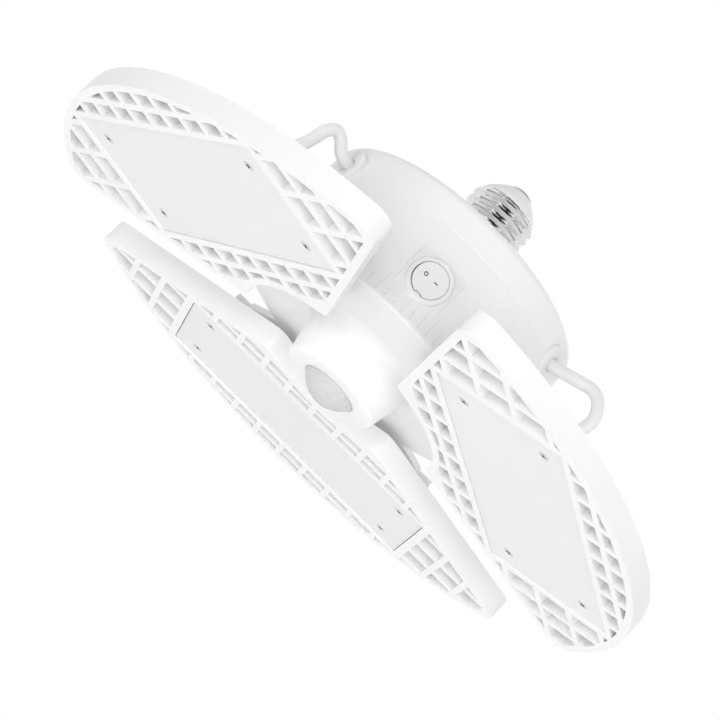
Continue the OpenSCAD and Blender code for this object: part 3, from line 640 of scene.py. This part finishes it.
# %% Face forward
def face_forward(piece, lift=0.0, lean=0.0):
    place = (Matrix.Translation((0, -SWITCH_PLANE * MM, SWITCH_CENTRE * MM))
             @ Matrix.Rotation(math.radians(90), 4, "X"))
    piece.data.transform(place @ Matrix.Translation((0, 0, lift * MM)) @ Matrix.Rotation(math.radians(lean), 4, "Y"))


# %% Bezel
BEZEL = 8.4
TAB_DEPTH = 0.5
TAB_ANGLE = 9
NOTCH_ANGLE = 11.5
bezel_profile = ([(0, -2.8), (6.5, -2.8), (6.5, 1.45)] + rounded_corner(6.85, 1.45, 0.35, 150, 90, 4)
                 + rounded_corner(7.2, 0.6, 1.2, 90, 15, 8)
                 + [(BEZEL, 0.1), (BEZEL, -0.02), (7.35, -0.02), (7.35, -13), (0, -13)])
bezel = revolve("switch_bezel", bezel_profile, 144, closed=False)
for vertex in bezel.data.vertices:
    x, y, z = (value / MM for value in vertex.co)
    if 6.4 < math.hypot(x, y) < 6.9 and z > 0.8 and abs(math.degrees(math.atan2(x, -y))) < TAB_ANGLE:
        vertex.co.y += TAB_DEPTH * MM
smooth_to(bezel, 40)
face_forward(bezel)
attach(bezel, "lamp")
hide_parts("switch_body")
give_finish(bezel, "switch_plastic")
print("bezel faces:", len(bezel.data.polygons))

# %% Rocker
ROCKER = 6.28
ROCKER_TOP = 2.1
ROCKER_DISH = 0.5
TRUNNION_RADIUS = 0.7
TRUNNION_LENGTH = 14
rocker_profile = ([(0, -1.9), (5.8, -1.6), (ROCKER, -1.3), (ROCKER, 1.7)]
                  + rounded_corner(ROCKER - 0.3, 1.8, 0.3, 0, 90, 4)
                  + [(ROCKER - 0.3 - 0.4 * k, ROCKER_TOP) for k in range(1, 15)] + [(0, ROCKER_TOP)])
rocker = revolve("rocker_cap", rocker_profile, 144, closed=False)
for vertex in rocker.data.vertices:
    x, y, z = (value / MM for value in vertex.co)
    if z > 1:
        vertex.co.z -= ROCKER_DISH * (1 - (x / ROCKER) ** 2) * MM
    if z > 0.6 and math.hypot(x, y) > 5.7 and abs(math.degrees(math.atan2(x, -y))) < NOTCH_ANGLE:
        vertex.co.y += TAB_DEPTH * MM
smooth_to(rocker, 40)
rocker.data.materials.append(switch_plastic)
trunnion = rod(TRUNNION_RADIUS, TRUNNION_LENGTH, (0, 0, 0), (90, 0, 0), 24)
trunnion.data.materials.append(switch_plastic)
print("rocker and its trunnion:", len(rocker.data.polygons) + len(trunnion.data.polygons), "faces")


# %% Marks on the rocker
def mark_height(x):
    return ROCKER_TOP - ROCKER_DISH * (1 - (x / ROCKER) ** 2)


ring_mark = revolve("ring_mark", [(0.45, -0.1), (0.8, -0.1), (0.8, 0.05), (0.45, 0.05)], 40)
ring_mark.data.transform(Matrix.Translation((-2.7 * MM, 0.5 * MM, 0)))
bpy.ops.object.select_all(action="DESELECT")
bpy.ops.mesh.primitive_cube_add(size=1, location=(1.9 * MM, 0.5 * MM, -0.025 * MM))
stroke_mark = bpy.context.object
stroke_mark.scale = (1.5 * MM, 0.42 * MM, 0.15 * MM)
set_in_place(stroke_mark)
for mark in (ring_mark, stroke_mark):
    for vertex in mark.data.vertices:
        vertex.co.z += mark_height(vertex.co.x / MM) * MM
    mark.data.materials.append(mark_ink)
rocker = join_all([rocker, trunnion, ring_mark, stroke_mark], "rocker_cap")
face_forward(rocker, lift=0.2, lean=5)
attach(rocker, "rocker")
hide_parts("switch_rocker")
print("rocker faces:", len(rocker.data.polygons))

# %% [markdown]
# ## The screw cap
# The cap is thin sheet metal with a rolled thread, four turns at the standard pitch. The solid carries plain rings
# at the crests. Here the tube is spun with many rows, and each point is pushed out by how near it is to the
# thread's winding crest, which gives a true helix with round crests and grooves.

# %% Roll the thread
CAP_ROOT = 12.1
CAP_CREST = 13.2
CAP_PITCH = 3.63
CAP_HEIGHT = 15.8
CAP_SINK = 0.6
CAP_WALL = 0.6
FIRST_CREST = 3.345
CREST_SHAPE = 0.62
ROWS = 110
cap_rows = [(CAP_ROOT, -CAP_SINK + (CAP_HEIGHT + CAP_SINK) * k / ROWS) for k in range(ROWS + 1)]
shell = revolve("thread_shell", cap_rows + [(CAP_ROOT - 0.35, CAP_HEIGHT + 0.02),
                                            (CAP_ROOT - CAP_WALL, CAP_HEIGHT - 0.2),
                                            (CAP_ROOT - CAP_WALL, -CAP_SINK)], 160)


def ramp(value, low, high):
    share = min(max((value - low) / (high - low), 0), 1)
    return share * share * (3 - 2 * share)


for vertex in shell.data.vertices:
    x, y, z = (value / MM for value in vertex.co)
    reach = math.hypot(x, y)
    if reach < CAP_ROOT - 0.1:
        continue
    turn = math.atan2(x, -y) / math.radians(360)
    height = z - CAP_PITCH * turn
    phase = (height - FIRST_CREST) / CAP_PITCH
    wave = 0.5 + 0.5 * math.cos(math.radians(360 * phase))
    shape = wave ** CREST_SHAPE * ramp(z, 0.9, 2.4) * ramp(CAP_HEIGHT - z, 0.2, 1.6)
    grow = (CAP_ROOT + (CAP_CREST - CAP_ROOT) * shape) / reach
    vertex.co.x *= grow
    vertex.co.y *= grow
smooth_to(shell, 50)
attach(shell, "lamp")
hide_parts("screw_shell")
give_finish(shell, "cap_metal")
print("thread faces:", len(shell.data.polygons))

# %% Insulator and contact
insulator_profile = [(0, CAP_HEIGHT - 3), (11.4, CAP_HEIGHT - 3), (11.4, CAP_HEIGHT), (11.75, CAP_HEIGHT + 0.05),
                     (11.7, CAP_HEIGHT + 0.5), (11.3, CAP_HEIGHT + 1.4), (10.6, CAP_HEIGHT + 2.5),
                     (9.7, CAP_HEIGHT + 3.6), (8.6, CAP_HEIGHT + 4.7), (7.5, CAP_HEIGHT + 5.7),
                     (6.6, CAP_HEIGHT + 6.5), (5.9, CAP_HEIGHT + 7.1), (5.2, CAP_HEIGHT + 7.6), (0, CAP_HEIGHT + 7.6)]
insulator = revolve("cap_dome", insulator_profile, 96, closed=False)
smooth_to(insulator, 40)
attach(insulator, "lamp")
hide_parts("cap_insulator")
give_finish(insulator, "insulator_plastic")
print("insulator faces:", len(insulator.data.polygons))

# %% [markdown]
# ## Grommets
# Where a cable enters the drum, a flat rubber disc with a round edge closes the hole in the seam.

# %% Grommets
def make_grommet(side):
    profile = ([(0, 50.5), (4.5, 50.5), (4.5, 53.6), (7, 53.6), (7, 55.1)] + rounded_corner(6.4, 55.2, 0.6, 0, 90, 6)
               + [(3.2, GROMMET_FACE), (2.75, 55.5), (2.6, 55), (0, 55)])
    piece = revolve(side + "_grommet_disc", profile, 72, closed=False)
    piece.data.transform(Matrix.Translation((0, 0, SEAM * MM)) @ Matrix.Rotation(math.radians(90), 4, "Y"))
    for vertex in piece.data.vertices:
        x, y, z = (value / MM for value in vertex.co)
        if 53 < x < 54.4 and math.hypot(y, z - SEAM) > 6.9:
            vertex.co.x = (math.sqrt(wall_radius(z) ** 2 - y * y) - 0.3 if z < SEAM
                           else math.sqrt(SEAM_RADIUS ** 2 - y * y) - 0.3) * MM
    smooth_to(piece, 40)
    turn_about_axis(piece, SIDES[side])
    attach(piece, "lamp")
    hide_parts(side + "_grommet")
    give_finish(piece, "cable_white")


for side in SIDES:
    make_grommet(side)
print("grommets:", len(SIDES))

# %% [markdown]
# ## Screws of the diffusers
# Each diffuser is held by four small countersunk screws with a cross recess. One is modelled and copied, and each
# copy stops at its own angle, as a real screw does.

# %% Diffuser screws
DIFFUSER_FACE = -69.9
CROSS_LENGTH = 2.3
CROSS_WIDTH = 0.6
CROSS_DEPTH = 1.3
SCREW_PLACES = [(85 + across * 16.85, along * 48.1) for across in (-1, 1) for along in (-1, 1)]


def make_screw():
    profile = [(0, 0.02), (1.5, 0), (1.95, 0.06), (2.18, 0.2), (1.1, 1.25), (1.1, 5), (0, 5)]
    piece = revolve("cross_screw", profile, 40, closed=False)
    for turn in (45, 135):
        bpy.ops.object.select_all(action="DESELECT")
        bpy.ops.mesh.primitive_cube_add(size=1, location=(0, 0, 0))
        slot_cutter = bpy.context.object
        slot_cutter.scale = (CROSS_LENGTH * MM, CROSS_WIDTH * MM, CROSS_DEPTH * MM)
        slot_cutter.rotation_euler.z = math.radians(turn)
        set_in_place(slot_cutter)
        drill(piece, slot_cutter)
    smooth_to(piece, 30)
    return piece


pattern_screw = make_screw()
for side in SIDES:
    screws = []
    for number, (x, y) in enumerate(SCREW_PLACES):
        copy = bpy.data.objects.new("screw", pattern_screw.data.copy())
        bpy.context.scene.collection.objects.link(copy)
        copy.data.transform(Matrix.Rotation(math.radians(25 + 37 * number + SIDES[side]), 4, "Z"))
        copy.data.transform(Matrix.Translation((x * MM, y * MM, DIFFUSER_FACE * MM)))
        screws.append(copy)
    screws = join_all(screws, side + "_cross_screws")
    turn_about_axis(screws, SIDES[side])
    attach(screws, side + "_leaf")
    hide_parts(side + "_diffuser_screws")
    give_finish(screws, "screw_metal")
bpy.data.objects.remove(pattern_screw, do_unlink=True)
print("screws:", len(SIDES) * len(SCREW_PLACES))

# %% [markdown]
# ## Rounded leaves, brackets and glands
# Moulded plastic and painted metal have no sharp edges. Each of these is shown by a welded copy of its solid with a
# small bevel along every sharp edge. The shading is weighted by the size of the faces, so that the large ones stay
# flat.

# %% Round the leaves
ROUNDED = {}
for side in SIDES:
    ROUNDED[side + "_leaf_frame"] = 0.45
    ROUNDED[side + "_gland"] = 0.4
    ROUNDED[side + "_bracket"] = 0.3
    ROUNDED[side + "_diffuser"] = 0.25
for name, radius in ROUNDED.items():
    piece = soft_copy(name, radius)
    give_finish(piece, SLOTS[name])
    print(name, len(piece.data.polygons), "faces")

# %% [markdown]
# ## Light and backdrop
# The photograph is high-key: pure white behind, and soft light from the front and from below, with hardly any
# shadow. The world gives a part of it. Wide lamps stand in front and at both sides, the floor glows a little to light
# the undersides, and two more lamps keep the back and the top bright. What the camera sees of the world is plain
# white.

# %% World
def build_world():
    world = bpy.data.worlds.new("soft studio")
    bpy.context.scene.world = world
    world.use_nodes = True
    tree = world.node_tree
    ground = tree.nodes["Background"]
    ground.inputs["Color"].default_value = (1, 1, 1, 1)
    path = tree.nodes.new("ShaderNodeLightPath")
    seen = tree.nodes.new("ShaderNodeMath")
    seen.operation = "MAXIMUM"
    tree.links.new(path.outputs["Is Camera Ray"], seen.inputs[0])
    bounced = tree.nodes.new("ShaderNodeMath")
    bounced.operation = "MAXIMUM"
    tree.links.new(path.outputs["Is Glossy Ray"], bounced.inputs[0])
    tree.links.new(path.outputs["Is Transmission Ray"], bounced.inputs[1])
    tree.links.new(bounced.outputs[0], seen.inputs[1])
    level = tree.nodes.new("ShaderNodeMapRange")
    level.inputs["To Min"].default_value = 0.4
    level.inputs["To Max"].default_value = 1.0
    tree.links.new(seen.outputs[0], level.inputs["Value"])
    tree.links.new(level.outputs["Result"], ground.inputs["Strength"])


build_world()
print("world:", bpy.context.scene.world.name)

# %% Lamps
def soft_lamp(name, place, size, power):
    bpy.ops.object.light_add(type="AREA", location=place)
    lamp = bpy.context.object
    lamp.name = name
    lamp.data.shape = "DISK"
    lamp.data.size = size
    lamp.data.energy = power
    lamp.rotation_euler = (Vector((0, 0, -0.03)) - Vector(place)).to_track_quat("-Z", "Y").to_euler()
    lamp.visible_camera = False
    lamp.visible_glossy = False
    return lamp


soft_lamp("front_lamp", (0, -1.7, -0.42), 1.0, 12)
soft_lamp("right_lamp", (1.45, -0.95, -0.5), 1.0, 8.5)
soft_lamp("left_lamp", (-1.45, -0.95, -0.5), 1.0, 8.5)
soft_lamp("back_lamp", (0.7, 1.3, 1.0), 1.2, 12)
soft_lamp("top_lamp", (0.2, 0.1, 1.5), 1.0, 6)
print("lamps:", len(bpy.data.lights))

# %% [markdown]
# ## Cards for the chrome
# Bright plating only looks like metal when it has something dark to mirror. A studio hangs black and grey cards just
# outside the picture, and these do the same. Each is a patch of a large ball round the lamp, given by its sides in
# degrees. Only glossy rays see them, so they neither shade nor tint the plastic.

# %% Hang the cards
CARDS = (("front_card", -32, 32, -24, 100, 0.03), ("right_bar", 34, 95, 2, 32, 0.36),
         ("left_bar", -95, -34, 2, 32, 0.36), ("right_end", 100, 150, -50, 60, 0.8),
         ("left_end", -150, -100, -50, 60, 0.8), ("low_line", -95, 95, -24, -9, 0.04),
         ("top_line", -95, 95, 52, 70, 0.04))
CARD_REACH = 3.2


def build_card_finish(name, shade):
    material = bpy.data.materials.new(name)
    material.use_nodes = True
    shader = material.node_tree.nodes["Principled BSDF"]
    shader.inputs["Base Color"].default_value = (0, 0, 0, 1)
    shader.inputs["Roughness"].default_value = 1
    shader.inputs["Specular IOR Level"].default_value = 0
    shader.inputs["Emission Color"].default_value = (shade, shade, shade, 1)
    shader.inputs["Emission Strength"].default_value = 1
    return material


def hang_card(name, left, right, low, high, shade):
    across, rise = 16, 16
    points = []
    for row in range(rise + 1):
        elevation = math.radians(low + (high - low) * row / rise)
        narrow = 1.03 - abs(2 * row / rise - 1) ** 1.5 if name == "front_card" else 1
        for column in range(across + 1):
            azimuth = math.radians((left + right) / 2 + narrow * (right - left) * (column / across - 0.5))
            points.append(CARD_REACH * direction(azimuth, elevation))
    faces = [(a, a + 1, a + across + 2, a + across + 1)
             for a in (row * (across + 1) + column for row in range(rise) for column in range(across))]
    mesh = bpy.data.meshes.new(name)
    mesh.from_pydata(points, [], faces)
    card = bpy.data.objects.new(name, mesh)
    bpy.context.scene.collection.objects.link(card)
    mesh.materials.append(build_card_finish(name, shade))
    card.visible_camera = False
    card.visible_diffuse = False
    card.visible_transmission = False
    card.visible_shadow = False


for card in CARDS:
    hang_card(*card)
print("cards:", len(CARDS))

# %% Floor
bpy.ops.mesh.primitive_plane_add(size=8, location=(0, 0, -0.75))
floor = bpy.context.object
floor.name = "floor"
floor.visible_glossy = False


def build_floor_finish():
    material = bpy.data.materials.new("pale floor")
    material.use_nodes = True
    tree = material.node_tree
    shader = tree.nodes["Principled BSDF"]
    shader.inputs["Base Color"].default_value = (0.9, 0.9, 0.9, 1)
    shader.inputs["Roughness"].default_value = 0.9
    shader.inputs["Emission Color"].default_value = (1, 1, 1, 1)
    shader.inputs["Emission Strength"].default_value = 0.26
    clear = tree.nodes.new("ShaderNodeBsdfTransparent")
    side = tree.nodes.new("ShaderNodeNewGeometry")
    choice = tree.nodes.new("ShaderNodeMixShader")
    tree.links.new(side.outputs["Backfacing"], choice.inputs["Fac"])
    tree.links.new(shader.outputs["BSDF"], choice.inputs[1])
    tree.links.new(clear.outputs["BSDF"], choice.inputs[2])
    tree.links.new(choice.outputs["Shader"], tree.nodes["Material Output"].inputs["Surface"])
    return material


floor.data.materials.append(build_floor_finish())
print("floor at", round(floor.location.z, 2))
bpy.context.scene.view_settings.view_transform = "Standard"
